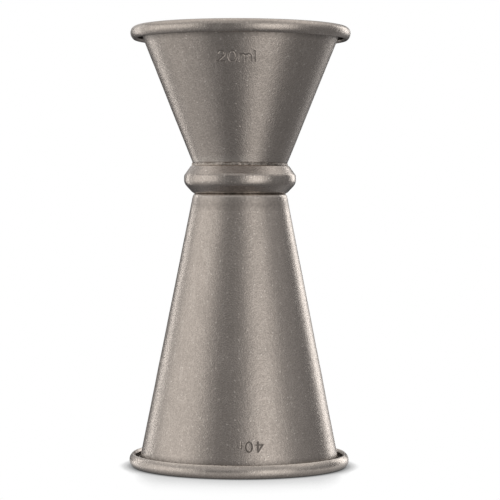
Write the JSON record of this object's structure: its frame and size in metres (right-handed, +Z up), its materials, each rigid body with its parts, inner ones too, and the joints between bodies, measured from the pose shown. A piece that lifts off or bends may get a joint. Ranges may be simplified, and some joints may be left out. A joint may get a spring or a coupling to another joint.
{
  "type": "bar jigger",
  "caption": "Double-ended bar jigger: two steel measuring cups joined floor to floor by a hollow waist collar, with curled rims.",
  "frame": {"origin": "centre of the base: on the axis, in the plane of the large cup's rim", "axes": "+Z up along the cups' common axis, towards the small cup; X and Y level, and alike"},
  "size_m": [0.046, 0.046, 0.092],
  "materials": {
    "cup_steel": "stonewashed stainless steel, warm grey, matt with fine pits and scuffs",
    "collar_steel": "stonewashed stainless steel, slightly darker than the cups",
    "weld_steel": "fine weld bead, uneven and darkened"
  },
  "bodies": {
    "root": {"large_cup": "cup_steel", "small_cup": "cup_steel", "waist_collar": "collar_steel", "upper_seam_weld": "weld_steel", "lower_seam_weld": "weld_steel"}
  },
  "joints": []
}
